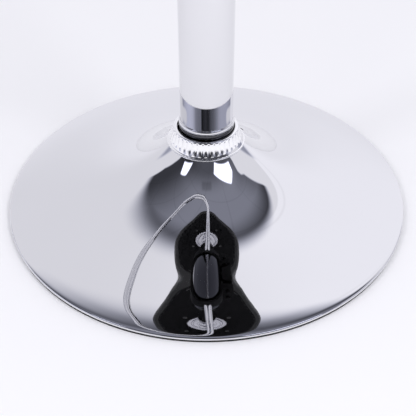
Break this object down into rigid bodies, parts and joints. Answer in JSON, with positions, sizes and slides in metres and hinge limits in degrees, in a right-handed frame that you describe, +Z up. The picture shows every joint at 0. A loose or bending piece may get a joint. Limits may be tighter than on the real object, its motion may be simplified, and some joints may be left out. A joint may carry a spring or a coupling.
{
  "type": "swivel bar stool",
  "caption": "Height-adjustable swivel bar stool with a chromed trumpet base, gas-spring column, D-shaped footrest, release lever and black cushioned seat.",
  "frame": {"origin": "on the floor, on the column's axis, at the middle of the base", "axes": "+Z up along the column, -Y towards the footrest's bow (the footrest is turned 3 degrees about the column), -X towards the broad, nearly straight end of the seat, with the release lever under it; the seat is modelled turned a quarter to the footrest, as the picture's mirror image shows it"},
  "size_m": [0.4569, 0.395, 0.7926],
  "materials": {
    "chrome_steel": "polished chrome plate",
    "trim_chrome": "chrome-plated moulding",
    "bright_steel": "ground steel",
    "zinc_steel": "zinc plate",
    "black_steel": "black satin paint",
    "black_rubber": "matt",
    "black_nylon": "satin",
    "black_grip": "satin",
    "leatherette": "soft sheen, fine grain",
    "dark_cloth": "non-woven",
    "plywood": "sanded",
    "foam": "open foam"
  },
  "bodies": {
    "base": {"base_dish": "chrome_steel", "floor_ring": "black_rubber", "ballast_plate": "black_steel", "plate_bolts": "zinc_steel", "hub_socket": "chrome_steel", "collar_ring": "trim_chrome", "column_tube": "chrome_steel", "column_end_plate": "black_steel", "guide_bush": "black_nylon", "bearing_lower_race": "bright_steel", "footrest_bow": "chrome_steel", "footrest_clamp": "black_steel", "clamp_screws": "black_steel", "clamp_nuts": "black_steel"},
    "balls": {"bearing_balls": "bright_steel", "ball_cage": "black_nylon"},
    "rod": {"bearing_upper_race": "bright_steel", "bump_stop": "black_rubber", "rod_washer": "zinc_steel", "rod_clip": "zinc_steel", "piston_rod": "bright_steel", "piston": "black_nylon"},
    "seat": {"gas_cylinder": "black_steel", "cylinder_guide": "black_nylon", "rod_seal": "black_rubber", "valve_body": "black_nylon", "upper_tube": "chrome_steel", "tube_spacers": "black_nylon", "cone_socket": "black_steel", "cover_disc": "chrome_steel", "mechanism_pan": "black_steel", "lever_pin": "zinc_steel", "lever_pin_clip": "zinc_steel", "seat_board": "plywood", "tee_nuts": "zinc_steel", "seat_bolts": "zinc_steel", "bolt_washers": "zinc_steel", "seat_foam": "foam", "seat_cover": "leatherette", "dust_cloth": "dark_cloth"},
    "lever": {"release_lever": "chrome_steel", "lever_grip": "black_grip"},
    "pin": {"release_pin": "bright_steel"}
  },
  "joints": [
    {"name": "swivel", "type": "hinge", "parent": "base", "child": "rod", "pos_m": [0, 0, 0.05], "axis": [0, 0, 1], "continuous": true},
    {"name": "ball_orbit", "type": "hinge", "parent": "base", "child": "balls", "pos_m": [0, 0, 0.0475], "axis": [0, 0, 1], "continuous": true},
    {"name": "lift", "type": "slide", "parent": "rod", "child": "seat", "axis": [0, 0, 1], "range_m": [-0.21, 0]},
    {"name": "lever_tilt", "type": "hinge", "parent": "seat", "child": "lever", "pos_m": [-0.038, 0, 0.7068], "axis": [0, 1, 0], "range_deg": [0, 5], "stiffness_Nm_per_rad": 1.5, "springref_deg": -5.73},
    {"name": "pin_press", "type": "slide", "parent": "seat", "child": "pin", "axis": [0, 0, -1], "range_m": [0, 0.0034]}
  ],
  "couplings": [
    {"joint": "ball_orbit", "follows": "swivel", "ratio": 0.5},
    {"joint": "pin_press", "follows": "lever_tilt", "m_per_rad": 0.038}
  ]
}
